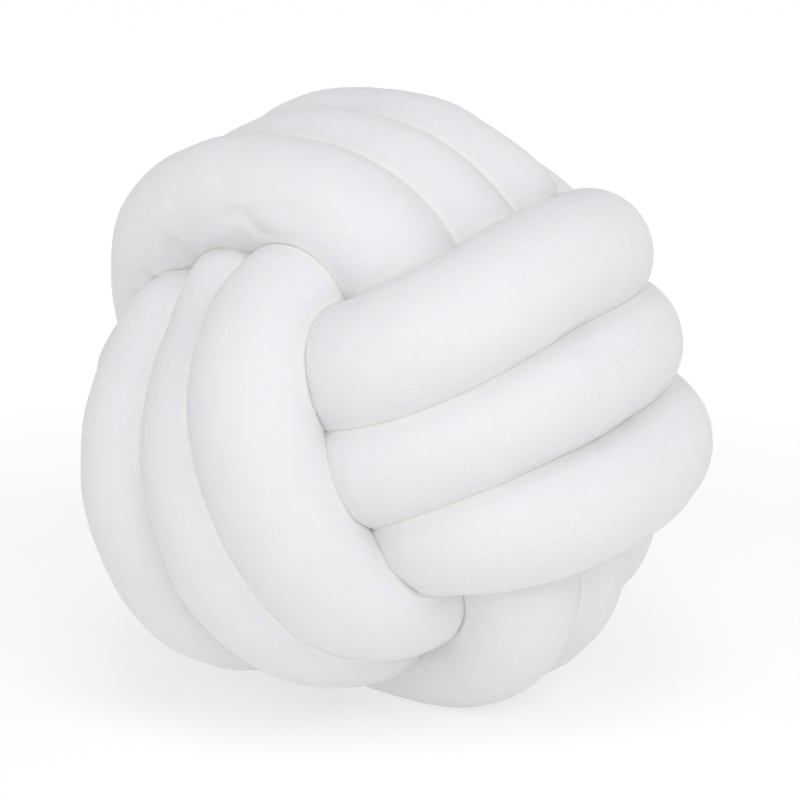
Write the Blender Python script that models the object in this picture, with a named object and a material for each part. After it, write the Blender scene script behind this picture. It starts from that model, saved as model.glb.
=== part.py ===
"""Knot cushion: one long stuffed cloth tube tied into a ball of three crossing bands.

Each band goes three times round the ball, side by side, and the bands cross at right angles, each
one over the next and under the last. The knot has three axes of its own, a, b and c. Band A passes
over the ball on its a sides and under band B on its b sides; band B and band C do the same with the
axes turned on by one. One turn of a band is a closed curve in polar form, and the tube leaves a turn
for the next one on the band's second under side, where another band covers it. Between two bands it
runs through the middle of the ball, where its two ends are tucked in as well.

Metres, +Z up. The ball stands on z = 0, and its box is centred on x = 0 and y = 0.
"""
import bpy
import numpy as np

# Driving sizes, in metres
TUBE_RADIUS = 0.028          # of a pass that nothing squeezes
PACKED_RADIUS = 0.034        # of the hidden passes, which spread into the room they have
PACKED_DEPTH = (0.070, 0.105)    # distance from the middle where the packed radius ends and the other starts
PASS_GAP = 0.0020            # left open between two passes that press on each other
EDGE_ROUNDING = 0.007        # radius at the edge of a pressed face
LEAST_REACH = 0.004          # from the tube's centreline to its skin, where it is squeezed most
FREE_BEND = 0.85             # share of a bend's radius that the skin may fill on its inner side
LEAST_BEND = 0.001           # per metre, below which a pass counts as straight
LEAST_FACING = 0.05          # cosine between a ray and another pass, below which they don't meet
REST_FLATTENING = 0.007      # how far the ball's own weight flattens its lowest passes
END_DOME = 0.024             # length over which a tucked end closes
END_CLOSED = 0.96            # share of the dome that the last ring has run through

# How the knot lies, as turns about X, Y and Z in degrees
KNOT_TURNS = (-164.0, -9.0, -43.5)

# Mesh of the tube
SIDES = 16
STATIONS = 360
NEIGHBOUR_STEP = 0.006
SELF_REACH = 0.080           # length of tube, either way, that a pass can't press against

# Band: its over, under and lane axis
BANDS = {"A": (0, 1, 2), "B": (1, 2, 0), "C": (2, 0, 1)}

# One row for each turn of a band, in millimetres. The distance from the middle of the ball, by the
# angle t from the over axis towards the under axis, is
#   mean + over cos t + under sin t + oval cos 2t + slant sin 2t + corner cos 4t
# and the place along the lane axis is
#   lane + tilt cos t + lean sin t + bow cos 2t + twist sin 2t
TURN_COLUMNS = ("mean", "over", "under", "oval", "slant", "corner", "lane", "tilt", "lean", "bow", "twist")
TURNS = {
    "A1": (91, 6, 5, 39, 6, -13, 36, 8, 1, 13, 7),
    "A2": (111, -5, 3, 21, 3, -6, -2, 4, -1, 4, 7),
    "A3": (91, -1, -1, 46, 5, -13, -40, 1, 0, -9, 5),
    "B1": (83, 15, -6, 38, 10, -9, 39, 7, -4, 2, -1),
    "B2": (103, 2, -13, 28, -2, 0, 2, 7, -5, 2, -3),
    "B3": (92, -1, -10, 42, -4, -4, -40, 5, -2, -2, -1),
    "C1": (96, 1, 9, 29, -5, -9, 38, 6, 3, 1, -2),
    "C2": (106, -7, -1, 20, 1, -5, -1, 6, 2, -1, -2),
    "C3": (92, -2, -7, 29, -2, -11, -39, 6, 4, -5, -1),
}
BAND_START = -72.0           # degrees, where a band's first turn comes up out of the middle
BAND_END = 972.0             # and where its third goes down into it
BAND_STEP = 1.0              # degrees between points of a turn
LANE_CHANGE = 42.0           # degrees either side of the under axis in which a turn becomes the next

# Where the tube runs through the middle of the ball, along a, b and c in millimetres
MIDDLE = {
    "first end": ((30, 8, 30), (14, -26, 32)),
    "A to B": ((8, -30, -26), (26, -8, -30)),
    "B to C": ((-26, 8, -30), (-30, 26, -8)),
    "last end": ((-28, -24, 4), (4, 18, 12)),
}
FINE_STEP = 0.002            # between points of the centreline while it is laid out
PATH_SMOOTHING = 60          # rounds of averaging on them
SPREAD_STEP = 0.008          # between points of the centreline while its hidden passes are spread
SPREAD_ROUNDS = 80
SPREAD_DISTANCE = 0.046      # between two passes, which the spreading works towards
SPREAD_PUSH = 0.35           # share of what is missing that one round makes up
SPREAD_DRAW = 0.25           # share of the way to the middle of its neighbours that a round draws a point
SPREAD_NEAREST = 0.001       # added to each distance, which keeps a point's own from being zero
SPREAD_LEAST = 0.000001      # least total of what is missing
SPREAD_DEPTH = (0.085, 0.110)    # distance from the middle where passes are free to move, and where held

CLOTH_COLOUR = (0.86, 0.87, 0.88, 1.0)
CLOTH_ROUGHNESS = 0.95

MM = 0.001


def clear_scene():
    """Removes every object, so that only the cushion is left."""
    for thing in list(bpy.data.objects):
        bpy.data.objects.remove(thing, do_unlink=True)


def rising(share):
    """A smooth rise from 0 to 1 as share goes from 0 to 1, level at both ends."""
    share = np.clip(share, 0.0, 1.0)
    return share * share * (3.0 - 2.0 * share)


def turn_curve(name, angle):
    """Points of one turn in the knot's axes, in metres, at the given angles in radians."""
    size = dict(zip(TURN_COLUMNS, TURNS[name]))
    over_axis, under_axis, lane_axis = BANDS[name[0]]
    distance = (size["mean"] + size["over"] * np.cos(angle) + size["under"] * np.sin(angle)
                + size["oval"] * np.cos(2 * angle) + size["slant"] * np.sin(2 * angle)
                + size["corner"] * np.cos(4 * angle))
    points = np.zeros((len(angle), 3))
    points[:, over_axis] = distance * np.cos(angle)
    points[:, under_axis] = distance * np.sin(angle)
    points[:, lane_axis] = (size["lane"] + size["tilt"] * np.cos(angle) + size["lean"] * np.sin(angle)
                            + size["bow"] * np.cos(2 * angle) + size["twist"] * np.sin(2 * angle))
    return points * MM


def band_curve(band):
    """The three turns of a band as one line, each turn blended into the next under another band."""
    degrees = np.arange(BAND_START, BAND_END + BAND_STEP / 2, BAND_STEP)
    angle = np.radians(degrees)
    points = turn_curve(band + "1", angle)
    for number, name in enumerate((band + "2", band + "3")):
        change = 270.0 + 360.0 * number
        share = rising((degrees - change + LANE_CHANGE) / (2 * LANE_CHANGE))[:, None]
        points = (1.0 - share) * points + share * turn_curve(name, angle)
    return points


def evenly_spaced(points, count):
    """The same line with count points at equal distances, and its length."""
    step = np.linalg.norm(np.diff(points, axis=0), axis=1)
    along = np.concatenate([[0.0], np.cumsum(step)])
    wanted = np.linspace(0.0, along[-1], count)
    line = np.stack([np.interp(wanted, along, points[:, axis]) for axis in range(3)], axis=1)
    return line, along[-1]


def spaced_by(points, step):
    """The same line with a point about every step."""
    length = np.linalg.norm(np.diff(points, axis=0), axis=1).sum()
    return evenly_spaced(points, int(round(length / step)) + 1)[0]


def centreline():
    """The whole tube's middle line in the knot's axes: tucked end, band A, B, C, tucked end."""
    pieces = [
        np.array(MIDDLE["first end"]) * MM,
        band_curve("A"),
        np.array(MIDDLE["A to B"]) * MM,
        band_curve("B"),
        np.array(MIDDLE["B to C"]) * MM,
        band_curve("C"),
        np.array(MIDDLE["last end"]) * MM,
    ]
    line = spaced_by(np.concatenate(pieces), FINE_STEP)
    for _ in range(PATH_SMOOTHING):
        line[1:-1] = 0.5 * line[1:-1] + 0.25 * (line[:-2] + line[2:])
    return spread_passes(spaced_by(line, SPREAD_STEP))


def spread_passes(line):
    """The line with its hidden passes pushed apart, as stuffed passes push each other.

    In each round a point moves away from every other pass that is nearer than the spread distance,
    by the mean of those pushes, and is then drawn towards the middle of its two neighbours.
    """
    place = np.arange(len(line)) * SPREAD_STEP
    apart = np.abs(place[:, None] - place[None, :]) > SELF_REACH
    for _ in range(SPREAD_ROUNDS):
        away = line[:, None, :] - line[None, :, :]
        far = np.linalg.norm(away, axis=2) + SPREAD_NEAREST
        missing = np.where(apart, np.maximum(SPREAD_DISTANCE - far, 0.0), 0.0)
        push = (away * (missing ** 2 / far)[:, :, None]).sum(axis=1)
        push /= np.maximum(missing.sum(axis=1), SPREAD_LEAST)[:, None]
        held = rising((np.linalg.norm(line, axis=1) - SPREAD_DEPTH[0]) / (SPREAD_DEPTH[1] - SPREAD_DEPTH[0]))
        free = (1.0 - held)[:, None]
        line = line + SPREAD_PUSH * free * push
        line[1:-1] += SPREAD_DRAW * free[1:-1] * (0.5 * (line[:-2] + line[2:]) - line[1:-1])
    return line


def knot_axes():
    """World directions of the knot's axes, as columns. Its c axis is reversed: the knot is left-handed."""
    turn_x, turn_y, turn_z = np.radians(KNOT_TURNS)
    about_x = np.array([[1, 0, 0], [0, np.cos(turn_x), -np.sin(turn_x)], [0, np.sin(turn_x), np.cos(turn_x)]])
    about_y = np.array([[np.cos(turn_y), 0, np.sin(turn_y)], [0, 1, 0], [-np.sin(turn_y), 0, np.cos(turn_y)]])
    about_z = np.array([[np.cos(turn_z), -np.sin(turn_z), 0], [np.sin(turn_z), np.cos(turn_z), 0], [0, 0, 1]])
    return about_z @ about_y @ about_x @ np.diag([1.0, 1.0, -1.0])


def directions(line):
    """Unit tangents of a line, and the two unit vectors across it, carried along without twist."""
    tangent = np.gradient(line, axis=0)
    tangent /= np.linalg.norm(tangent, axis=1, keepdims=True)
    across = np.empty_like(line)
    start = np.cross(tangent[0], (0.0, 0.0, 1.0))
    across[0] = start / np.linalg.norm(start)
    for i in range(1, len(line)):
        carried = across[i - 1] - tangent[i] * (across[i - 1] @ tangent[i])
        across[i] = carried / np.linalg.norm(carried)
    return tangent, across, np.cross(tangent, across)


def skin_reach(line, length, rays, radius):
    """Distance from the centreline to the skin along each ray, by station.

    A ray ends at the free radius, or where it meets the plane halfway to a point of another pass.
    All these limits are first drawn in by the edge rounding, and a circle of that radius is then
    carried round the narrower outline, which rounds the edges of the pressed faces.
    """
    stations = len(line)
    others = spaced_by(line, NEIGHBOUR_STEP)
    place = np.linspace(0.0, length, stations)
    other_place = np.linspace(0.0, length, len(others))
    offset = others[None, :, :] - line[:, None, :]
    far = np.linalg.norm(offset, axis=2)
    apart = np.abs(place[:, None] - other_place[None, :]) > SELF_REACH
    station, other = np.nonzero(apart & (far < 2.0 * PACKED_RADIUS + PASS_GAP))
    toward = offset[station, other] / far[station, other][:, None]
    halfway = far[station, other] / 2 - PASS_GAP / 2 - EDGE_ROUNDING
    narrow = np.repeat((radius - EDGE_ROUNDING)[:, None], rays.shape[1], axis=1)
    bend = np.gradient(np.gradient(line, axis=0), axis=0) / (length / (stations - 1)) ** 2
    for side in range(rays.shape[1]):
        facing = np.einsum("ij,ij->i", rays[station, side], toward)
        limit = np.where(facing > LEAST_FACING, halfway / np.maximum(facing, LEAST_FACING), PACKED_RADIUS)
        np.minimum.at(narrow[:, side], station, limit)
        inward = np.einsum("ij,ij->i", rays[:, side], bend)
        room = FREE_BEND / np.maximum(inward, LEAST_BEND) - EDGE_ROUNDING
        narrow[:, side] = np.minimum(narrow[:, side], room)
    narrow = np.maximum(narrow, LEAST_REACH - EDGE_ROUNDING / 2)
    angle = np.arange(rays.shape[1]) * 2 * np.pi / rays.shape[1]
    turned = angle[:, None] - angle[None, :]
    beside = narrow[:, None, :] * np.sin(turned)[None]
    outward = narrow[:, None, :] * np.cos(turned)[None]
    reach = outward + np.sqrt(np.maximum(EDGE_ROUNDING ** 2 - beside ** 2, 0.0))
    return np.where(np.abs(beside) < EDGE_ROUNDING, reach, 0.0).max(axis=2)


def tube_points():
    """Skin points of the whole tube, stations by sides, and the middles of its two ends."""
    line, length = evenly_spaced(centreline() @ knot_axes().T, STATIONS)
    tangent, across, beside = directions(line)
    angle = np.arange(SIDES) * 2 * np.pi / SIDES
    rays = (np.cos(angle)[None, :, None] * across[:, None, :]
            + np.sin(angle)[None, :, None] * beside[:, None, :])
    inner, outer = PACKED_DEPTH
    shown = rising((np.linalg.norm(line, axis=1) - inner) / (outer - inner))
    radius = PACKED_RADIUS + (TUBE_RADIUS - PACKED_RADIUS) * shown
    reach = skin_reach(line, length, rays, radius)
    place = np.linspace(0.0, length, STATIONS)
    from_end = np.minimum(place, length - place)
    dome = 1.0 - np.clip(1.0 - from_end / END_DOME, 0.0, END_CLOSED)
    reach *= np.sqrt(1.0 - (1.0 - dome) ** 2)[:, None]
    skin = line[:, None, :] + reach[:, :, None] * rays
    return skin, np.stack([line[0], line[-1]])


def stood_on_floor(skin, ends):
    """The same points with the lowest passes flattened, moved so that the ball stands on z = 0."""
    floor = skin[:, :, 2].min() + REST_FLATTENING
    skin[:, :, 2] = np.maximum(skin[:, :, 2], floor)
    low = skin.reshape(-1, 3).min(axis=0)
    high = skin.reshape(-1, 3).max(axis=0)
    shift = -np.array([(low[0] + high[0]) / 2, (low[1] + high[1]) / 2, floor])
    return skin + shift, ends + shift


def tube_mesh():
    """The closed skin of the tube, as a grid of four-sided faces with a fan at each tucked end."""
    skin, ends = stood_on_floor(*tube_points())
    points = np.concatenate([skin.reshape(-1, 3), ends])
    station, side = np.meshgrid(np.arange(STATIONS - 1), np.arange(SIDES), indexing="ij")
    after = (side + 1) % SIDES
    walls = np.stack([station * SIDES + side, station * SIDES + after,
                      (station + 1) * SIDES + after, (station + 1) * SIDES + side], axis=-1).reshape(-1, 4)
    around = np.arange(SIDES)
    following = (around + 1) % SIDES
    first, last = STATIONS * SIDES, STATIONS * SIDES + 1
    last_ring = (STATIONS - 1) * SIDES
    start_fan = np.stack([following, around, np.full(SIDES, first)], axis=1)
    end_fan = np.stack([last_ring + around, last_ring + following, np.full(SIDES, last)], axis=1)
    mesh = bpy.data.meshes.new("knot_tube")
    mesh.from_pydata(points.tolist(), [], walls.tolist() + start_fan.tolist() + end_fan.tolist())
    mesh.validate()
    mesh.shade_smooth()
    return mesh


def cloth_material():
    """Plain matt white cloth."""
    material = bpy.data.materials.new("white_cloth")
    material.use_nodes = True
    surface = material.node_tree.nodes["Principled BSDF"]
    surface.inputs["Base Color"].default_value = CLOTH_COLOUR
    surface.inputs["Roughness"].default_value = CLOTH_ROUGHNESS
    surface.inputs["Metallic"].default_value = 0.0
    return material


def build_cushion():
    """The one piece: the knotted tube."""
    cushion = bpy.data.objects.new("knot_tube", tube_mesh())
    cushion.data.materials.append(cloth_material())
    bpy.context.scene.collection.objects.link(cushion)
    return cushion


clear_scene()
build_cushion()
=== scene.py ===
"""Knot cushion: its white cloth, a pale floor and soft light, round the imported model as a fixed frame.

The cushion is one long stuffed tube of cloth, tied into a ball of three crossing bands with three passes
each. The middle line of the tube follows the same turns as the model's. The skin round it is a surface of
two parameters, the place along the tube and the angle round it, pressed flat where two passes meet.

Metres, +Z up, in the model's own frame.
"""

import bpy
import numpy as np
from mathutils import Matrix


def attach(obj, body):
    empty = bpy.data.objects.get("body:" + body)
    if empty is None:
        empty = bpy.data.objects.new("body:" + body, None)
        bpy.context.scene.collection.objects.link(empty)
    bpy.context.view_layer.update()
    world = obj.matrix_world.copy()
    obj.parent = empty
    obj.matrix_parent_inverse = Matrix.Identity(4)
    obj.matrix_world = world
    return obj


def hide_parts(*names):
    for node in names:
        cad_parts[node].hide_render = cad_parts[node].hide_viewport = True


bl_info = {
    "name": "Knot Cushion",
    "version": (1, 0, 0),
    "blender": (4, 5, 0),
    "location": "3D View > Sidebar > Knot Cushion",
    "description": "Finishes a knot cushion in matt white cloth, on a pale floor in soft light",
    "category": "Object",
}

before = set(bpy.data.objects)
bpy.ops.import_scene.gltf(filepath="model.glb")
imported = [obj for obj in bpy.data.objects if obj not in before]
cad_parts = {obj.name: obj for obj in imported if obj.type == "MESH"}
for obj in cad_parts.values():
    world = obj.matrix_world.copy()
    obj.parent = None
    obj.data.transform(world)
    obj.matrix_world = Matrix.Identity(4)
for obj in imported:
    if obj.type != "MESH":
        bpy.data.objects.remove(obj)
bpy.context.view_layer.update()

MM = 0.001
WHITE = (1.0, 1.0, 1.0, 1.0)

# ---------------------------------------------------------------------------------------------------
# How the tube is tied
# ---------------------------------------------------------------------------------------------------

# The middle of the ball in the model's frame, and how the knot lies, as turns about X, Y and Z in degrees
KNOT_MIDDLE = (-0.00322, 0.00046, 0.14117)
KNOT_TURNS = (-164.0, -9.0, -43.5)

# Band: its over, under and lane axis
BANDS = {"A": (0, 1, 2), "B": (1, 2, 0), "C": (2, 0, 1)}

# One row for each turn of a band, in millimetres. The distance from the middle of the ball, by the
# angle t from the over axis towards the under axis, is
#   mean + over cos t + under sin t + oval cos 2t + slant sin 2t + corner cos 4t
# and the place along the lane axis is
#   lane + tilt cos t + lean sin t + bow cos 2t + twist sin 2t
# A least-squares fit to points picked along the edges and creases in the photo gave the sizes and the
# turns above, rounded. A third of the sizes were then changed.
TURN_COLUMNS = ("mean", "over", "under", "oval", "slant", "corner", "lane", "tilt", "lean", "bow", "twist")
TURNS = {
    "A1": (91, 6, 5, 39, 6, -13, 36, 8, 1, 13, 7),
    "A2": (111, -5, 3, 21, 3, -6, -2, 4, -1, 4, 7),
    "A3": (91, -1, -1, 46, 5, -13, -40, 1, 0, -9, 5),
    "B1": (83, 15, -6, 38, 10, -9, 39, 7, -4, 2, -1),
    "B2": (103, 2, -13, 28, -2, 0, 2, 7, -5, 2, -3),
    "B3": (92, -1, -10, 42, -4, -4, -40, 5, -2, -2, -1),
    "C1": (96, 1, 9, 29, -5, -9, 38, 6, 3, 1, -2),
    "C2": (106, -7, -1, 20, 1, -5, -1, 6, 2, -1, -2),
    "C3": (92, -2, -7, 29, -2, -11, -39, 6, 4, -5, -1),
}
BAND_START = -72.0           # degrees, where a band's first turn comes up out of the middle
BAND_END = 972.0             # and where its third goes down into it
BAND_STEP = 1.0              # degrees between points of a band while it is laid out
TURN_CHANGES = (270.0, 630.0)    # degrees at which the first turn becomes the second and that the third
LANE_CHANGE = 42.0           # degrees either side of them in which a turn becomes the next

# Where the tube runs through the middle of the ball, along a, b and c in millimetres
MIDDLE = {
    "first end": ((30, 8, 30), (14, -26, 32)),
    "A to B": ((8, -30, -26), (26, -8, -30)),
    "B to C": ((-26, 8, -30), (-30, 26, -8)),
    "last end": ((-28, -24, 4), (4, 18, 12)),
}
FINE_STEP = 0.002            # between points of the middle line while it is laid out
PATH_SMOOTHING = 60          # rounds of averaging on them
SPREAD_STEP = 0.008          # between points of the middle line while its hidden passes are spread
SPREAD_ROUNDS = 80
SPREAD_DISTANCE = 0.046      # between two passes, which the spreading works towards
SPREAD_PUSH = 0.35           # share of what is missing that one round makes up
SPREAD_DRAW = 0.25           # share of the way to its neighbours' middle that a point is then drawn
SPREAD_DEPTH = (0.085, 0.110)    # distance from the middle where passes are free to move, and where held
SPREAD_NEAREST = 0.001       # added to the distance of two points, against a division by nothing
SPREAD_LEAST = 0.000001      # and the least sum of missing distances
LAST_SMOOTHING = 16          # rounds of averaging on the spread line, at the fine step

# Folds of the cloth, one row each. First the turn and the angle t of the fold's middle, the angle round the
# tube from its outward side, and the heading of its length from the tube's, in degrees. Then its length, its
# width and its depth in millimetres; a ridge has a depth below 0. The ends of each fold were picked in the
# photo and carried over to the skin by a helper program. Width and depth were set one by one.
FOLD_COLUMNS = ("turn", "at", "side", "heading", "length", "width", "depth")
HOLLOWS = (
    ("C1", -14, 90, 107, 26, 15, 2.6),
    ("C1", -26, 95, 104, 14, 6, -0.8),
    ("C1", 8, 60, -9, 39, 10, 1.2),
    ("C1", 23, 45, -12, 34, 10, 0.9),
    ("C1", 2, 82, -14, 46, 12, -0.8),
    ("C1", 15, 69, 43, 18, 8, 1.6),
)
TUCKS = (
    ("C1", -30, 90, 100, 20, 9.0, 0.8),
    ("C1", -38, 76, 61, 20, 8.0, 0.6),
    ("C1", -14, 90, 107, 30, 24.0, 1.2),
    ("C1", 14, 69, 48, 22, 9.0, 0.6),
    ("C1", 18, 72, 0, 25, 8.0, 0.6),
    ("A1", 26, 60, -180, 15, 3.6, 0.30),
    ("A2", 9, 41, -128, 13, 3.2, 0.30),
    ("A2", 7, 29, -160, 21, 6.0, -0.40),
    ("A2", 2, 14, -107, 15, 3.2, 0.30),
    ("A2", 8, 10, -131, 13, 3.2, 0.28),
    ("A2", 9, -10, -74, 15, 5.0, -0.30),
    ("A2", 11, -7, -80, 17, 3.4, 0.28),
    ("A2", -10, 37, -86, 12, 3.0, 0.30),
)

# ---------------------------------------------------------------------------------------------------
# The mesh of the skin
# ---------------------------------------------------------------------------------------------------

SIDES = 78                   # points round the tube
SHOWN_STEP = 0.0042          # between rings of points where the tube shows
HIDDEN_STEP = 0.0140         # and inside the ball
SHOWN_DEPTH = (0.078, 0.100)     # distance from the middle where the hidden step ends and the other starts
OUTER_CROWDING = (0.30, 0.15)    # how much closer the points of a ring stand on its outer side and flanks
FRAME_WINDOW = 15            # points of the line, either way, over which the outward direction is averaged
NEIGHBOUR_STEP = 0.003       # between the points that stand for the other passes
SELF_REACH = 0.080           # length of tube, either way, that a pass can't press against
PACKED_DEPTH = (0.070, 0.105)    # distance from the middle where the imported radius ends, the other starts
SWELLING_WIDTH = 0.012       # of the bell curve by which pressed-in depth swells the tube round it
LEAST_REACH = 0.004          # from the middle line to the skin, where it is squeezed most
FREE_BEND = 0.85             # share of a bend's radius that the skin may fill on its inner side
LEAST_BEND = 0.001           # per metre, below which a pass counts as straight
LEAST_FACING = 0.05          # cosine between a ray and another pass, below which that pass doesn't limit it
END_DOME = 0.024             # length over which a tucked end closes
END_CLOSED = 0.96            # share of the dome that is drawn before the fan of the end closes it
FULL_ROOM = 0.020            # the most room that is counted between a point of the skin and the next pass

# Waves of the stuffing, and of the gathers' wandering, one row each: height, length in metres, how often
# the wave goes up and down round the tube, and its start
LUMP_WAVES = (
    (0.40, 0.0970, 1, 0.3),
    (0.35, 0.0610, -1, 1.9),
    (0.30, 0.0430, 2, 4.1),
    (0.22, 0.0290, -2, 0.8),
    (0.18, 0.0210, 3, 2.6),
    (0.12, 0.0148, -3, 5.2),
)
GATHER_WANDER = (
    (0.9, 0.195, 2, 0.0),
    (0.7, 0.107, -3, 1.0),
)
GATHER_SPACING = 0.016       # from fold to fold along the tube
GATHER_SQUEEZE = (0.30, 0.70)    # share of its length that a bend takes, where gathers begin and are full
GATHER_UNEVEN = 0.35         # half the change of their depth along the tube
GATHER_CHANGE = 0.145        # and over what length


class KnotTubeSizes(bpy.types.PropertyGroup):
    """Sizes of the stuffed tube."""
    radius: bpy.props.FloatProperty(
        name="Tube radius", description="Radius of a pass that nothing squeezes",
        default=0.0284, min=0.020, max=0.036, unit="LENGTH")
    packed_radius: bpy.props.FloatProperty(
        name="Packed radius", description="Radius that hidden passes may spread to inside the ball",
        default=0.034, min=0.025, max=0.045, unit="LENGTH")
    shown_gap: bpy.props.FloatProperty(
        name="Crease gap", description="Between two passes in view that press, below 0 where naps mesh",
        default=-0.0018, min=-0.003, max=0.003, unit="LENGTH")
    hidden_gap: bpy.props.FloatProperty(
        name="Hidden gap", description="Left open between two passes inside the ball",
        default=0.0016, min=0.0002, max=0.004, unit="LENGTH")
    edge_rounding: bpy.props.FloatProperty(
        name="Edge rounding", description="Radius at the edge of a pressed face",
        default=0.0022, min=0.001, max=0.016, unit="LENGTH")
    swelling: bpy.props.FloatProperty(
        name="Swelling", description="Share of a pressed-in depth by which the tube swells beside it",
        default=0.5, min=0.0, max=1.0)
    lump_height: bpy.props.FloatProperty(
        name="Stuffing lumps", description="Height of the soft unevenness of the stuffing",
        default=0.0005, min=0.0, max=0.002, unit="LENGTH")
    gather_depth: bpy.props.FloatProperty(
        name="Gathers", description="Depth of the small folds on the inner side of a tight bend",
        default=0.0012, min=0.0, max=0.004, unit="LENGTH")


class ClothFinishAndPaintedLight(bpy.types.PropertyGroup):
    """Colour and nap of the cloth, and the painted bounce light and painted shade at its creases."""
    colour: bpy.props.FloatVectorProperty(
        name="Cloth", description="Colour of the cloth where the light reaches it", subtype="COLOR",
        size=4, default=(0.730, 0.734, 0.747, 1.0), min=0.0, max=1.0)
    # Painted bounce light: a lighter, warmer colour where two passes lean together, in place of light bounced
    # between them
    painted_bounce_light: bpy.props.FloatVectorProperty(
        name="Beside creases", description="Colour of the cloth where two passes lean together",
        subtype="COLOR", size=4, default=(0.785, 0.782, 0.768, 1.0), min=0.0, max=1.0)
    # Painted shade: a darker, warmer colour deep between two passes, in place of the shade in the crease
    painted_crease_shade: bpy.props.FloatVectorProperty(
        name="Creases", description="Colour of the cloth deep between two passes", subtype="COLOR",
        size=4, default=(0.72, 0.715, 0.69, 1.0), min=0.0, max=1.0)
    # Width of the painted bounce light beside a crease
    painted_bounce_width: bpy.props.FloatProperty(
        name="Crease width", description="Room to the next pass within which the cloth takes that colour",
        default=0.006, min=0.001, max=0.020, unit="LENGTH")
    nap_size: bpy.props.FloatProperty(
        name="Nap", description="Size of one tuft of the short nap",
        default=0.0011, min=0.0004, max=0.004, unit="LENGTH")
    nap_depth: bpy.props.FloatProperty(
        name="Nap depth", description="Height of the nap in the cloth's relief",
        default=0.00022, min=0.0, max=0.001, unit="LENGTH")
    softness: bpy.props.FloatProperty(
        name="Softness", description="Share of the light that spreads inside the cloth",
        default=0.35, min=0.0, max=1.0)
    softness_depth: bpy.props.FloatProperty(
        name="Softness depth", description="How far the light spreads inside the cloth",
        default=0.004, min=0.0, max=0.02, unit="LENGTH")


class StudioSettings(bpy.types.PropertyGroup):
    """Floor, light and camera."""
    floor_colour: bpy.props.FloatVectorProperty(
        name="Floor", description="Colour of the floor", subtype="COLOR",
        size=4, default=(0.55, 0.55, 0.55, 1.0), min=0.0, max=1.0)
    floor_glow: bpy.props.FloatProperty(
        name="Floor glow", description="Light that the floor gives round the cushion, as a lit table does",
        default=0.475, min=0.0, max=2.0)
    backdrop_glow: bpy.props.FloatProperty(
        name="Backdrop glow", description="Light that the floor gives further off",
        default=0.60, min=0.0, max=2.0)
    sky_strength: bpy.props.FloatProperty(
        name="Fill", description="Strength of the even, slightly blue light from all round",
        default=0.632, min=0.0, max=3.0)
    key_power: bpy.props.FloatProperty(
        name="Key light", description="Power of the wide light high in front",
        default=12.5, min=0.0, max=500.0, unit="POWER")
    side_power: bpy.props.FloatProperty(
        name="Side light", description="Power of the wide light at the right",
        default=8.0, min=0.0, max=500.0, unit="POWER")
    front_power: bpy.props.FloatProperty(
        name="Front light", description="Power of the wide light in front",
        default=8.0, min=0.0, max=500.0, unit="POWER")
    camera_distance: bpy.props.FloatProperty(
        name="Camera distance", description="From the camera to the middle of the ball",
        default=1.6, min=0.5, max=5.0, unit="LENGTH")
    camera_elevation: bpy.props.FloatProperty(
        name="Camera elevation", description="Angle of the camera above the middle of the ball",
        default=np.radians(12.0), min=-1.5, max=1.5, subtype="ANGLE")
    focal_length: bpy.props.FloatProperty(
        name="Focal length", description="Focal length in millimetres, on a sensor 36 mm wide",
        default=153.5, min=20.0, max=400.0)
    aim_right: bpy.props.FloatProperty(
        name="Aim right", description="How far right of the middle of the ball the camera points",
        default=0.0061, min=-0.1, max=0.1, unit="LENGTH")
    aim_up: bpy.props.FloatProperty(
        name="Aim up", description="How far above the middle of the ball the camera points",
        default=-0.0042, min=-0.1, max=0.1, unit="LENGTH")


# ---------------------------------------------------------------------------------------------------
# The middle line of the tube
# ---------------------------------------------------------------------------------------------------

def rising(share):
    """A smooth rise from 0 to 1 as share goes from 0 to 1, level at both ends: 3 s^2 - 2 s^3."""
    share = np.clip(share, 0.0, 1.0)
    return share * share * (3.0 - 2.0 * share)


def between(value, limits):
    """The smooth rise of value from 0 at the first limit to 1 at the second."""
    low, high = limits
    return rising((value - low) / (high - low))


def unit(vectors):
    """The same vectors at length 1."""
    return vectors / np.linalg.norm(vectors, axis=-1, keepdims=True)


def dots(first, second):
    """The products of two lists of vectors, row by row."""
    return np.einsum("ij,ij->i", first, second)


def half_turn(angle):
    """The same angles between minus and plus half a turn."""
    return (angle + np.pi) % (2 * np.pi) - np.pi


def turn_curve(name, angle):
    """Points of one turn in the knot's axes, in metres, by the formula above the table of turns."""
    size = dict(zip(TURN_COLUMNS, TURNS[name]))
    over_axis, under_axis, lane_axis = BANDS[name[0]]
    distance = (size["mean"] + size["over"] * np.cos(angle) + size["under"] * np.sin(angle)
                + size["oval"] * np.cos(2 * angle) + size["slant"] * np.sin(2 * angle)
                + size["corner"] * np.cos(4 * angle))
    points = np.zeros((len(angle), 3))
    points[:, over_axis] = distance * np.cos(angle)
    points[:, under_axis] = distance * np.sin(angle)
    points[:, lane_axis] = (size["lane"] + size["tilt"] * np.cos(angle) + size["lean"] * np.sin(angle)
                            + size["bow"] * np.cos(2 * angle) + size["twist"] * np.sin(2 * angle))
    return points * MM


def band_curve(band):
    """The three turns of a band as one line, each turn blended into the next under another band."""
    degrees = np.arange(BAND_START, BAND_END + BAND_STEP / 2, BAND_STEP)
    angle = np.radians(degrees)
    points = turn_curve(band + "1", angle)
    for change, name in zip(TURN_CHANGES, (band + "2", band + "3")):
        share = rising((degrees - change + LANE_CHANGE) / (2 * LANE_CHANGE))[:, None]
        points = (1.0 - share) * points + share * turn_curve(name, angle)
    return points


def spaced_by(points, step):
    """The same line with a point about every step."""
    along = np.concatenate([[0.0], np.cumsum(np.linalg.norm(np.diff(points, axis=0), axis=1))])
    wanted = np.linspace(0.0, along[-1], int(round(along[-1] / step)) + 1)
    return np.stack([np.interp(wanted, along, points[:, axis]) for axis in range(3)], axis=1)


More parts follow.
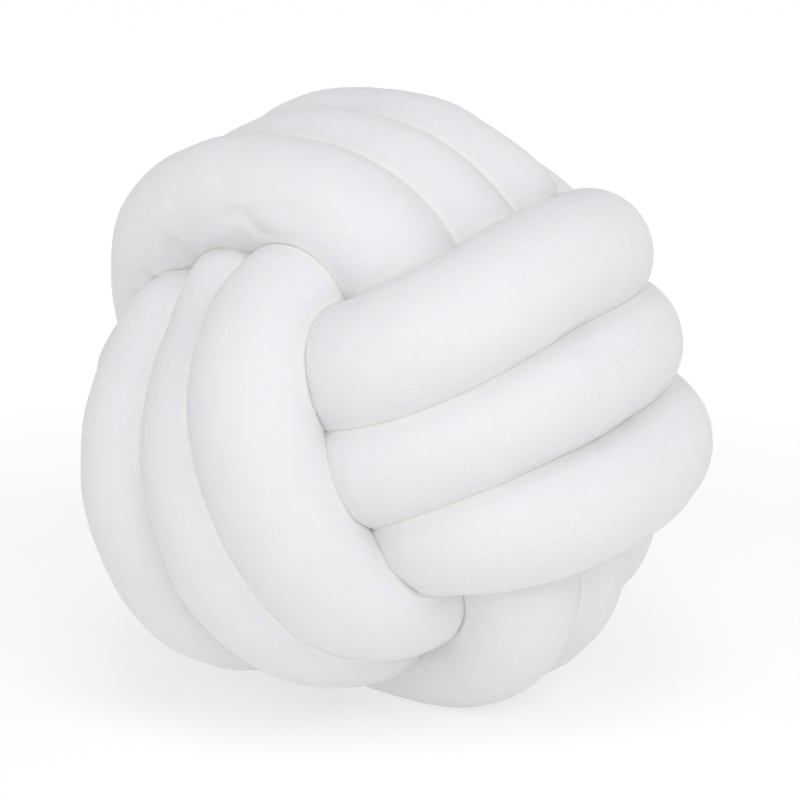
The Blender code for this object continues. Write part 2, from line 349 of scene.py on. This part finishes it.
def averaged(line, rounds):
    """The line after rounds in which each point goes halfway to the middle of its two neighbours."""
    line = line.copy()
    for _ in range(rounds):
        line[1:-1] = 0.5 * line[1:-1] + 0.25 * (line[:-2] + line[2:])
    return line


def spread_passes(line):
    """The line with its hidden passes pushed apart, as stuffed passes push each other.

    In each round a point moves away from every other pass that is nearer than the spread distance,
    by the mean of those pushes, and is then drawn towards the middle of its two neighbours.
    """
    place = np.arange(len(line)) * SPREAD_STEP
    apart = np.abs(place[:, None] - place[None, :]) > SELF_REACH
    for _ in range(SPREAD_ROUNDS):
        away = line[:, None, :] - line[None, :, :]
        far = np.linalg.norm(away, axis=2) + SPREAD_NEAREST
        missing = np.where(apart, np.maximum(SPREAD_DISTANCE - far, 0.0), 0.0)
        push = (away * (missing ** 2 / far)[:, :, None]).sum(axis=1)
        push /= np.maximum(missing.sum(axis=1), SPREAD_LEAST)[:, None]
        free = (1.0 - between(np.linalg.norm(line, axis=1), SPREAD_DEPTH))[:, None]
        line = line + SPREAD_PUSH * free * push
        line[1:-1] += SPREAD_DRAW * free[1:-1] * ((line[:-2] + line[2:]) / 2 - line[1:-1])
    return line


def knot_axes():
    """World directions of the knot's axes, as columns. Its c axis is reversed: the knot is left-handed."""
    about = [Matrix.Rotation(np.radians(turn), 3, axis) for turn, axis in zip(KNOT_TURNS, "XYZ")]
    return np.array(about[2] @ about[1] @ about[0]) @ np.diag([1.0, 1.0, -1.0])


def middle_line():
    """The whole tube's middle line round the middle of the ball, a point every fine step.

    It runs from a tucked end through bands A, B and C to the other tucked end.
    """
    pieces = [
        np.array(MIDDLE["first end"]) * MM,
        band_curve("A"),
        np.array(MIDDLE["A to B"]) * MM,
        band_curve("B"),
        np.array(MIDDLE["B to C"]) * MM,
        band_curve("C"),
        np.array(MIDDLE["last end"]) * MM,
    ]
    line = averaged(spaced_by(np.concatenate(pieces), FINE_STEP), PATH_SMOOTHING)
    line = spread_passes(spaced_by(line, SPREAD_STEP))
    line = averaged(spaced_by(line, FINE_STEP), LAST_SMOOTHING)
    return spaced_by(line, FINE_STEP) @ knot_axes().T


# ---------------------------------------------------------------------------------------------------
# The skin of the tube
# ---------------------------------------------------------------------------------------------------

def rings_along(line):
    """Places along the tube, in metres, of the rings of skin points: close where the tube shows.

    The number of rings per metre goes smoothly from one over the hidden step to one over the shown
    step with the distance from the middle of the ball, and its running sum is cut into equal parts.
    """
    shown = between(np.linalg.norm(line, axis=1), SHOWN_DEPTH)
    per_metre = (1.0 - shown) / HIDDEN_STEP + shown / SHOWN_STEP
    count = np.concatenate([[0.0], np.cumsum(0.5 * (per_metre[1:] + per_metre[:-1]) * FINE_STEP)])
    wanted = np.linspace(0.0, count[-1], int(round(count[-1])))
    return np.interp(wanted, count, np.arange(len(line)) * FINE_STEP)


def at_places(place, values):
    """Values known at each fine step of the line, read at the given places between them."""
    known = np.arange(len(values)) * FINE_STEP
    return np.stack([np.interp(place, known, values[:, axis]) for axis in range(values.shape[1])], axis=1)


def ring_frames(line, place):
    """For each ring: its middle, the outward direction across the tube, the one beside it, and the bend.

    Outward is the point's own direction from the middle of the ball less its part along the tube,
    averaged over a short window. Bend is the rate at which the tangent turns, per metre of tube.
    """
    tangent = unit(np.gradient(line, axis=0))
    bend = np.gradient(tangent, axis=0) / FINE_STEP
    outward = line - dots(line, tangent)[:, None] * tangent
    window = np.ones(2 * FRAME_WINDOW + 1) / (2 * FRAME_WINDOW + 1)
    padded = np.pad(outward, ((FRAME_WINDOW, FRAME_WINDOW), (0, 0)), mode="edge")
    outward = np.stack([np.convolve(padded[:, axis], window, "valid") for axis in range(3)], axis=1)
    along = unit(at_places(place, tangent))
    outward = at_places(place, outward)
    outward = unit(outward - dots(outward, along)[:, None] * along)
    return at_places(place, line), outward, np.cross(along, outward), at_places(place, bend)


def pressed_limits(line, place, middle, rays, gap, furthest, rounding):
    """How far each ray may go before it comes within the rounding of another pass, by ring and side.

    The limit is the plane halfway to a point of the other pass, less half the gap and the rounding.
    Of the planes to all points of other passes the nearest along the ray counts.
    """
    others = spaced_by(line, NEIGHBOUR_STEP)
    other_place = np.linspace(0.0, (len(line) - 1) * FINE_STEP, len(others))
    offset = others[None, :, :] - middle[:, None, :]
    far = np.linalg.norm(offset, axis=2)
    apart = np.abs(place[:, None] - other_place[None, :]) > SELF_REACH
    ring, other = np.nonzero(apart & (far < 2.0 * furthest))
    toward = offset[ring, other] / far[ring, other][:, None]
    halfway = far[ring, other] / 2 - gap[ring] / 2 - rounding
    limits = np.full(rays.shape[:2], furthest)
    for side in range(rays.shape[1]):
        facing = dots(rays[ring, side], toward)
        limit = np.where(facing > LEAST_FACING, halfway / np.maximum(facing, LEAST_FACING), furthest)
        np.minimum.at(limits[:, side], ring, limit)
    return limits


def spread_out(field, place, angle, radius, width):
    """The field of the skin averaged with a bell curve of the given width, along the tube and round it.

    The weight of a point at distance d is exp(-(d / width)^2 / 2), along and round one after the other.
    """
    round_it = radius * np.abs(half_turn(angle[:, None] - angle[None, :]))
    spacing = np.gradient(np.append(angle, angle[0] + 2 * np.pi))[:-1]
    weight = np.exp(-0.5 * (round_it / width) ** 2) * spacing[None, :]
    field = field @ (weight / weight.sum(axis=1, keepdims=True)).T
    weight = np.exp(-0.5 * ((place[:, None] - place[None, :]) / width) ** 2) * np.gradient(place)[None, :]
    return (weight / weight.sum(axis=1, keepdims=True)) @ field


def rounded_out(narrow, angle, rounding):
    """The outline that a circle of the rounding's radius makes when it is carried round the narrow one.

    Seen along a ray, a circle at another ray's end reaches r cos d + sqrt(rounding^2 - (r sin d)^2),
    with r that end's distance and d the angle between the two rays. The furthest circle counts.
    """
    turned = angle[:, None] - angle[None, :]
    beside = narrow[:, None, :] * np.sin(turned)[None]
    outward = narrow[:, None, :] * np.cos(turned)[None]
    reach = outward + np.sqrt(np.maximum(rounding ** 2 - beside ** 2, 0.0))
    return np.where(np.abs(beside) < rounding, reach, 0.0).max(axis=2)


def waves(place, angle, rows):
    """The sum of waves along and round the tube.

    Each wave is height sin(2 pi along / length + turns angle + start).
    """
    s, t = place[:, None], angle[None, :]
    return sum(height * np.sin(2 * np.pi * s / length + turns * t + start)
               for height, length, turns, start in rows)


def gathers(place, angle, squeezed):
    """Depth, from 0 to 1, of the small folds that cross the tube where a bend squeezes its cloth.

    Folds are narrow troughs at uneven spacing along the tube: the fourth power of a wave whose phase
    wanders with the place and the angle. They deepen with the squeeze, and from fold to fold.
    """
    s, t = place[:, None], angle[None, :]
    wander = waves(place, angle, GATHER_WANDER)
    trough = ((1.0 + np.cos(2 * np.pi * s / GATHER_SPACING + wander)) / 2) ** 4
    uneven = 1.0 - GATHER_UNEVEN * (1.0 - np.sin(2 * np.pi * s / GATHER_CHANGE + t))
    return between(squeezed, GATHER_SQUEEZE) * trough * uneven


def fold_places(line, rows, radius):
    """For each fold: place along and way round the tube, heading, half its length and width, and depth."""
    found = []
    for row in rows:
        fold = dict(zip(FOLD_COLUMNS, row))
        point = turn_curve(fold["turn"], np.radians([fold["at"]])) @ knot_axes().T
        place = np.linalg.norm(line - point, axis=1).argmin() * FINE_STEP
        way = np.radians(fold["side"]) * radius
        found.append((place, way, np.radians(fold["heading"]),
                      fold["length"] * MM / 2, fold["width"] * MM / 2, fold["depth"] * MM))
    return found


def hollows(line, place, angle, radius):
    """Depth of the wide folds over the skin: each is depth (1 - r^2)^2 out to r = 1.

    In a fold's own length and width, with half of each as the unit, r is the distance from its middle.
    """
    depth = np.zeros((len(place), len(angle)))
    for middle, way, heading, half_length, half_width, deepest in fold_places(line, HOLLOWS, radius):
        along = place[:, None] - middle
        round_it = radius * half_turn(angle[None, :] - way / radius)
        lengthwise = (along * np.cos(heading) + round_it * np.sin(heading)) / half_length
        crosswise = (round_it * np.cos(heading) - along * np.sin(heading)) / half_width
        depth += deepest * np.maximum(1.0 - lengthwise ** 2 - crosswise ** 2, 0.0) ** 2
    return depth


def tube_skin(line, sizes):
    """Skin points by ring and side, the two end points, ring places, side angles, and room to the next pass.

    A point stands on its own ray across the tube. It reaches the free radius, with the stuffing's lumps,
    or only as far as the nearest pass or a tight bend lets it, with rounded edges between the two. The
    free radius grows beside what is pressed in. Gathers, hollows and the domes of the ends lie below it.
    """
    place = rings_along(line)
    even = np.arange(SIDES) * 2 * np.pi / SIDES - np.pi
    angle = even - OUTER_CROWDING[0] * np.sin(even) + OUTER_CROWDING[1] * np.sin(2 * even)
    middle, outward, beside, bend = ring_frames(line, place)
    rays = (np.cos(angle)[None, :, None] * outward[:, None, :]
            + np.sin(angle)[None, :, None] * beside[:, None, :])
    depth = np.linalg.norm(middle, axis=1)
    shown = between(depth, PACKED_DEPTH)
    radius = sizes.packed_radius + (sizes.radius - sizes.packed_radius) * shown
    gap = sizes.hidden_gap + (sizes.shown_gap - sizes.hidden_gap) * between(depth, SHOWN_DEPTH)
    free = radius[:, None] + sizes.lump_height * waves(place, angle, LUMP_WAVES)
    inward = np.einsum("isj,ij->is", rays, bend)
    rounding = sizes.edge_rounding
    limits = pressed_limits(line, place, middle, rays, gap, sizes.packed_radius, rounding)
    limits = np.minimum(limits, FREE_BEND / np.maximum(inward, LEAST_BEND) - rounding)
    lost = np.maximum(free - rounding - limits, 0.0)
    free = free + sizes.swelling * spread_out(lost, place, angle, sizes.radius, SWELLING_WIDTH)
    narrow = np.maximum(np.minimum(free - rounding, limits), LEAST_REACH - rounding / 2)
    reach = rounded_out(narrow, angle, rounding)
    room = np.clip(limits + rounding - free, 0.0, FULL_ROOM)
    squeezed = inward * reach
    reach = reach - sizes.gather_depth * gathers(place, angle, squeezed)
    reach = reach - hollows(line, place, angle, sizes.radius)
    length = (len(line) - 1) * FINE_STEP
    from_end = np.minimum(place, length - place)
    past = np.clip(1.0 - from_end / END_DOME, 0.0, END_CLOSED)
    reach = reach * np.sqrt(1.0 - past ** 2)[:, None]
    skin = middle[:, None, :] + reach[:, :, None] * rays + np.array(KNOT_MIDDLE)
    skin[:, :, 2] = np.maximum(skin[:, :, 2], 0.0)    # flat where the ball rests
    ends = middle[[0, -1]] + np.array(KNOT_MIDDLE)
    return skin, ends, place, angle, room


def skin_faces(rings):
    """Faces of the closed skin: four-sided ones ring by ring, then a fan at the first end and the last."""
    ring, side = np.meshgrid(np.arange(rings - 1), np.arange(SIDES), indexing="ij")
    after = (side + 1) % SIDES
    walls = np.stack([ring * SIDES + side, ring * SIDES + after,
                      (ring + 1) * SIDES + after, (ring + 1) * SIDES + side], axis=-1).reshape(-1, 4)
    around = np.arange(SIDES)
    following = (around + 1) % SIDES
    first, last, last_ring = rings * SIDES, rings * SIDES + 1, (rings - 1) * SIDES
    start_fan = np.stack([following, around, np.full(SIDES, first)], axis=1)
    end_fan = np.stack([last_ring + around, last_ring + following, np.full(SIDES, last)], axis=1)
    return walls.tolist() + start_fan.tolist() + end_fan.tolist()


def skin_map(place, way_round):
    """UV place of each corner of those faces: u is the place along the tube, v the way round it."""
    ring, side = np.meshgrid(np.arange(len(place) - 1), np.arange(SIDES), indexing="ij")
    u = np.stack([place[ring], place[ring], place[ring + 1], place[ring + 1]], axis=-1)
    v = np.stack([way_round[side], way_round[side + 1], way_round[side + 1], way_round[side]], axis=-1)
    start_u = np.full((SIDES, 3), place[0])
    end_u = np.full((SIDES, 3), place[-1])
    start_v = np.stack([way_round[1:], way_round[:-1], way_round[:-1]], axis=1)
    end_v = np.stack([way_round[:-1], way_round[1:], way_round[:-1]], axis=1)
    all_u = np.concatenate([u.ravel(), start_u.ravel(), end_u.ravel()])
    all_v = np.concatenate([v.ravel(), start_v.ravel(), end_v.ravel()])
    return np.stack([all_u, all_v], axis=1)


def tube_mesh(name, line, sizes):
    """The closed skin as a grid of four-sided faces with a fan at each tucked end.

    Its UV map holds real metres: the place along the tube and the way round it at the free radius. Its
    attribute room is how far the cloth could still rise before it met another pass, in metres; the material
    paints bounce light and crease shade by it.
    """
    skin, ends, place, angle, room = tube_skin(line, sizes)
    mesh = bpy.data.meshes.new(name)
    points = np.concatenate([skin.reshape(-1, 3), ends])
    mesh.from_pydata(points.tolist(), [], skin_faces(len(place)))
    mesh.validate()
    mesh.shade_smooth()
    way_round = np.append(angle, angle[0] + 2 * np.pi) * sizes.radius
    corners = skin_map(place, way_round)
    mesh.uv_layers.new(name="cloth").data.foreach_set("uv", corners.ravel())
    value = np.append(room.ravel(), [0.0, 0.0]).astype(np.float32)
    mesh.attributes.new("room", "FLOAT", "POINT").data.foreach_set("value", value)
    return mesh


# ---------------------------------------------------------------------------------------------------
# Materials
# ---------------------------------------------------------------------------------------------------

CLOTH_ROUGHNESS = 0.95
CLOTH_GLOSS = 0.15
CLOTH_SHEEN = (0.08, 0.6)                # weight and roughness
SPREAD_COLOURS = (1.0, 0.95, 0.9)        # how far red, green and blue light spreads in the cloth
NAP_RELIEF = (3.0, 0.65, 0.7)            # detail, roughness, strength
LINE_STRETCH = (45.0, 420.0, 1.0)        # faint lines per metre, along the tube and round it
LINE_RELIEF = (2.0, 0.5, 0.5, 0.0004)    # detail, roughness, strength, depth in metres
MOTTLE_SCALE = 70.0                      # soft mottles per metre
MOTTLE_RELIEF = (3.0, 0.75, 0.5, 0.0020)    # as for the lines
PAINTED_SHADE_ROOM = (0.0012, 0.0008)           # room to the next pass where the painted crease shade begins and is full
MIX_FIRST, MIX_SECOND, MIX_RESULT = 6, 7, 2    # places of the colour sockets in a mix node's lists
GLOW_CHANGE = (0.4, 0.9)     # distance from the cushion where the near glow ends and the far glow starts
FLOOR_ROUGHNESS = 0.9
FLOOR_GLOSS = 0.1


def node(tree, kind, **inputs):
    """A new shader node with the given constant inputs, named as their sockets with _ for a space."""
    made = tree.nodes.new(kind)
    for key, value in inputs.items():
        made.inputs[key.replace("_", " ")].default_value = value
    return made


def mixed_colour(tree, share, first, second):
    """The socket of a colour that goes from the first to the second as the share's socket goes from 0 to 1.

    The first is a colour or a socket that gives one.
    """
    mix = node(tree, "ShaderNodeMix")
    mix.data_type = "RGBA"
    tree.links.new(share, mix.inputs["Factor"])
    if isinstance(first, bpy.types.NodeSocket):
        tree.links.new(first, mix.inputs[MIX_FIRST])
    else:
        mix.inputs[MIX_FIRST].default_value = first
    mix.inputs[MIX_SECOND].default_value = second
    return mix.outputs[MIX_RESULT]


def tuck_height(tree, folds):
    """Nodes for the height of narrow folds over the cloth's UV map, in metres, and the socket of their sum.

    Each is an oval bell. In its own length and width, with half of each as the unit and r the distance
    from its middle, it is the smoother step of 1 - r, up to r = 1.
    """
    cloth = node(tree, "ShaderNodeUVMap")
    cloth.uv_map = "cloth"
    total = None
    for place, way, heading, half_length, half_width, depth in folds:
        own = node(tree, "ShaderNodeMapping", Location=(place, way, 0.0), Rotation=(0.0, 0.0, heading),
                   Scale=(half_length, half_width, 1.0))
        own.vector_type = "TEXTURE"
        oval = node(tree, "ShaderNodeTexGradient")
        oval.gradient_type = "SPHERICAL"
        bell = node(tree, "ShaderNodeMapRange", To_Max=-depth)
        bell.interpolation_type = "SMOOTHERSTEP"
        tree.links.new(cloth.outputs["UV"], own.inputs["Vector"])
        tree.links.new(own.outputs["Vector"], oval.inputs["Vector"])
        tree.links.new(oval.outputs["Fac"], bell.inputs["Value"])
        if total is None:
            total = bell.outputs["Result"]
            continue
        both = node(tree, "ShaderNodeMath")
        tree.links.new(total, both.inputs[0])
        tree.links.new(bell.outputs["Result"], both.inputs[1])
        total = both.outputs["Value"]
    return total


def cloth_relief(tree, finish, tucks):
    """The socket of the cloth's normal: tucks, mottles, faint lengthwise lines and the nap, in that order."""
    place = node(tree, "ShaderNodeTexCoord").outputs["Object"]
    cloth = node(tree, "ShaderNodeUVMap")
    cloth.uv_map = "cloth"
    detail, roughness, nap_strength = NAP_RELIEF
    nap = node(tree, "ShaderNodeTexNoise", Scale=1.0 / finish.nap_size, Detail=detail, Roughness=roughness)
    tree.links.new(place, nap.inputs["Vector"])
    stretch = node(tree, "ShaderNodeMapping", Scale=LINE_STRETCH)
    tree.links.new(cloth.outputs["UV"], stretch.inputs["Vector"])
    detail, roughness, line_strength, line_depth = LINE_RELIEF
    lines = node(tree, "ShaderNodeTexNoise", Scale=1.0, Detail=detail, Roughness=roughness)
    tree.links.new(stretch.outputs["Vector"], lines.inputs["Vector"])
    detail, roughness, mottle_strength, mottle_depth = MOTTLE_RELIEF
    mottles = node(tree, "ShaderNodeTexNoise", Scale=MOTTLE_SCALE, Detail=detail, Roughness=roughness)
    tree.links.new(place, mottles.inputs["Vector"])

    # Height, strength and the depth in metres of a height of 1; the tucks' height is in metres already
    reliefs = (
        (tuck_height(tree, tucks), 1.0, 1.0),
        (mottles.outputs["Fac"], mottle_strength, mottle_depth),
        (lines.outputs["Fac"], line_strength, line_depth),
        (nap.outputs["Fac"], nap_strength, finish.nap_depth),
    )
    normal = None
    for height, strength, depth in reliefs:
        relief = node(tree, "ShaderNodeBump", Strength=strength, Distance=depth)
        tree.links.new(height, relief.inputs["Height"])
        if normal is not None:
            tree.links.new(normal, relief.inputs["Normal"])
        normal = relief.outputs["Normal"]
    return normal


def colour_with_painted_light(tree, finish):
    """The socket of the cloth's colour, with painted light: lighter, warmer painted bounce light near the
    next pass, and darker painted shade deep in the crease.
    """
    room = node(tree, "ShaderNodeAttribute")
    room.attribute_name = "room"
    # Mask of the painted bounce light, rising towards the next pass
    near = node(tree, "ShaderNodeMapRange", From_Min=finish.painted_bounce_width, From_Max=0.0)
    near.interpolation_type = "SMOOTHSTEP"
    tree.links.new(room.outputs["Fac"], near.inputs["Value"])
    # Mask of the painted crease shade, full where the room to the next pass is least
    deep = node(tree, "ShaderNodeMapRange", From_Min=PAINTED_SHADE_ROOM[0], From_Max=PAINTED_SHADE_ROOM[1])
    tree.links.new(room.outputs["Fac"], deep.inputs["Value"])
    warm = mixed_colour(tree, near.outputs["Result"], finish.colour, finish.painted_bounce_light)
    return mixed_colour(tree, deep.outputs["Result"], warm, finish.painted_crease_shade)


def cloth_material(finish, tucks):
    """Matt white cloth with a short nap and painted light at its creases, in which the light also spreads."""
    material = bpy.data.materials.new("white_cloth")
    material.use_nodes = True
    tree = material.node_tree
    surface = tree.nodes["Principled BSDF"]
    surface.inputs["Roughness"].default_value = CLOTH_ROUGHNESS
    surface.inputs["Specular IOR Level"].default_value = CLOTH_GLOSS
    surface.inputs["Sheen Weight"].default_value = CLOTH_SHEEN[0]
    surface.inputs["Sheen Roughness"].default_value = CLOTH_SHEEN[1]
    surface.subsurface_method = "BURLEY"
    surface.inputs["Subsurface Weight"].default_value = finish.softness
    surface.inputs["Subsurface Radius"].default_value = SPREAD_COLOURS
    surface.inputs["Subsurface Scale"].default_value = finish.softness_depth
    tree.links.new(cloth_relief(tree, finish, tucks), surface.inputs["Normal"])
    tree.links.new(colour_with_painted_light(tree, finish), surface.inputs["Base Color"])
    return material


def floor_material(colour, near_glow, far_glow):
    """Plain matt pale floor, which glows more with the distance from the cushion."""
    material = bpy.data.materials.new("pale_floor")
    material.use_nodes = True
    tree = material.node_tree
    surface = tree.nodes["Principled BSDF"]
    surface.inputs["Base Color"].default_value = colour
    surface.inputs["Roughness"].default_value = FLOOR_ROUGHNESS
    surface.inputs["Specular IOR Level"].default_value = FLOOR_GLOSS
    surface.inputs["Emission Color"].default_value = WHITE
    place = node(tree, "ShaderNodeTexCoord")
    distance = node(tree, "ShaderNodeVectorMath")
    distance.operation = "LENGTH"
    tree.links.new(place.outputs["Object"], distance.inputs[0])
    glow = node(tree, "ShaderNodeMapRange", From_Min=GLOW_CHANGE[0], From_Max=GLOW_CHANGE[1],
                To_Min=near_glow, To_Max=far_glow)
    tree.links.new(distance.outputs["Value"], glow.inputs["Value"])
    tree.links.new(glow.outputs["Result"], surface.inputs["Emission Strength"])
    return material


# ---------------------------------------------------------------------------------------------------
# The stage
# ---------------------------------------------------------------------------------------------------

FLOOR_RADIUS = 5.0           # of its flat middle
FLOOR_RIM = 3.0              # width of the rim that curves up round it
FLOOR_RISE = 2.4             # height of the rim
FLOOR_GRID = (40, 96)        # circles, spokes
UNDER_FLOOR = 0.0003         # the floor lies this far below the cushion
LIGHT_SIZE = 1.3             # width of each soft light
LIGHT_PLACES = {
    "key": (0.0, -1.22, 2.45),
    "side": (1.22, -1.74, 1.64),
    "front": (0.0, -2.2, 1.3),
}
SKY_COLOUR = (0.975, 0.98, 1.0, 1.0)
SENSOR_WIDTH = 36.0          # millimetres


def floor_mesh():
    """A round floor that curves up at its rim: height = rise (s^3) past the flat middle, s from 0 to 1."""
    circles, spokes = FLOOR_GRID
    distance = (FLOOR_RADIUS + FLOOR_RIM) * np.linspace(0.0, 1.0, circles + 1)[1:]
    angle = np.arange(spokes) * 2 * np.pi / spokes
    past = np.maximum(distance - FLOOR_RADIUS, 0.0) / FLOOR_RIM
    height = FLOOR_RISE * past ** 3 - UNDER_FLOOR
    grid = np.stack([distance[:, None] * np.cos(angle), distance[:, None] * np.sin(angle),
                     np.repeat(height[:, None], spokes, axis=1)], axis=-1)
    points = np.concatenate([grid.reshape(-1, 3), [[0.0, 0.0, -UNDER_FLOOR]]])
    circle, spoke = np.meshgrid(np.arange(circles - 1), np.arange(spokes), indexing="ij")
    after = (spoke + 1) % spokes
    walls = np.stack([circle * spokes + spoke, (circle + 1) * spokes + spoke,
                      (circle + 1) * spokes + after, circle * spokes + after], axis=-1).reshape(-1, 4)
    around = np.arange(spokes)
    fan = np.stack([np.full(spokes, len(points) - 1), around, (around + 1) % spokes], axis=1)
    mesh = bpy.data.meshes.new("floor")
    mesh.from_pydata(points.tolist(), [], walls.tolist() + fan.tolist())
    mesh.shade_smooth()
    return mesh


def looking(place, target):
    """The matrix of a lamp or camera at a place that looks at a target, upright."""
    toward = unit(np.array(place) - np.array(target))
    right = unit(np.cross((0.0, 0.0, 1.0), toward))
    up = np.cross(toward, right)
    matrix = Matrix((right.tolist(), up.tolist(), toward.tolist())).transposed().to_4x4()
    matrix.translation = place
    return matrix


def add_soft_light(name, place, size, power, target):
    """A square soft light that points at the target."""
    light = bpy.data.lights.new(name, "AREA")
    light.shape = "SQUARE"
    light.size = size
    light.energy = power
    lamp = bpy.data.objects.new(name, light)
    lamp.matrix_world = looking(place, target)
    bpy.context.scene.collection.objects.link(lamp)


def add_camera(studio):
    """The camera at the photograph's angle: from the front, a little above the middle of the ball."""
    lift = studio.camera_elevation
    toward = np.array([0.0, -np.cos(lift), np.sin(lift)])
    up = np.array([0.0, np.sin(lift), np.cos(lift)])
    aim = np.array(KNOT_MIDDLE) + np.array([studio.aim_right, 0.0, 0.0]) + up * studio.aim_up
    lens = bpy.data.cameras.new("camera")
    lens.sensor_width = SENSOR_WIDTH
    lens.lens = studio.focal_length
    camera = bpy.data.objects.new("camera", lens)
    camera.matrix_world = looking((aim + toward * studio.camera_distance).tolist(), aim)
    bpy.context.scene.collection.objects.link(camera)
    bpy.context.scene.camera = camera


# ---------------------------------------------------------------------------------------------------
# Operators, panel and registration
# ---------------------------------------------------------------------------------------------------

class KNOT_OT_tube(bpy.types.Operator):
    """Make the stuffed and knotted tube of white cloth"""
    bl_idname = "object.knot_tube"
    bl_label = "Knotted Tube"
    bl_options = {"REGISTER", "UNDO"}

    def execute(self, context):
        sizes = context.scene.knot_tube_sizes
        line = middle_line()
        mesh = tube_mesh("knotted_tube", line, sizes)
        tucks = fold_places(line, TUCKS, sizes.radius)
        mesh.materials.append(cloth_material(context.scene.knot_cloth_finish, tucks))
        tube = bpy.data.objects.new("knotted_tube", mesh)
        context.scene.collection.objects.link(tube)
        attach(tube, "root")
        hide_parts("knot_tube")
        return {"FINISHED"}


class KNOT_OT_studio(bpy.types.Operator):
    """Make the pale floor, the soft light and the camera"""
    bl_idname = "scene.knot_studio"
    bl_label = "Studio"
    bl_options = {"REGISTER", "UNDO"}

    def execute(self, context):
        studio = context.scene.knot_studio
        floor = bpy.data.objects.new("floor", floor_mesh())
        finish = floor_material(studio.floor_colour, studio.floor_glow, studio.backdrop_glow)
        floor.data.materials.append(finish)
        context.scene.collection.objects.link(floor)
        world = bpy.data.worlds.new("studio")
        world.use_nodes = True
        background = world.node_tree.nodes["Background"]
        background.inputs["Color"].default_value = SKY_COLOUR
        background.inputs["Strength"].default_value = studio.sky_strength
        context.scene.world = world
        powers = {"key": studio.key_power, "side": studio.side_power, "front": studio.front_power}
        for name, place in LIGHT_PLACES.items():
            add_soft_light(name + "_light", place, LIGHT_SIZE, powers[name], KNOT_MIDDLE)
        add_camera(studio)
        context.scene.view_settings.view_transform = "Standard"
        return {"FINISHED"}


class KNOT_PT_panel(bpy.types.Panel):
    """Sizes and steps of the knot cushion"""
    bl_idname = "VIEW3D_PT_knot_cushion"
    bl_label = "Knot Cushion"
    bl_space_type = "VIEW_3D"
    bl_region_type = "UI"
    bl_category = "Knot Cushion"

    def draw(self, context):
        layout = self.layout
        for title, group, operator in STEPS:
            box = layout.box()
            box.label(text=title)
            settings = getattr(context.scene, group)
            for key in settings.__annotations__:
                box.prop(settings, key)
            if operator:
                box.operator(operator)


STEPS = (
    ("Tube", "knot_tube_sizes", "object.knot_tube"),
    ("Cloth", "knot_cloth_finish", None),
    ("Studio", "knot_studio", "scene.knot_studio"),
)
GROUPS = {
    "knot_tube_sizes": KnotTubeSizes,
    "knot_cloth_finish": ClothFinishAndPaintedLight,
    "knot_studio": StudioSettings,
}
CLASSES = (*GROUPS.values(), KNOT_OT_tube, KNOT_OT_studio, KNOT_PT_panel)


def register():
    for item in CLASSES:
        bpy.utils.register_class(item)
    for name, group in GROUPS.items():
        setattr(bpy.types.Scene, name, bpy.props.PointerProperty(type=group))


def unregister():
    for name in GROUPS:
        delattr(bpy.types.Scene, name)
    for item in reversed(CLASSES):
        bpy.utils.unregister_class(item)


def main():
    register()
    bpy.ops.object.knot_tube()
    bpy.ops.scene.knot_studio()


if __name__ == "__main__":
    main()
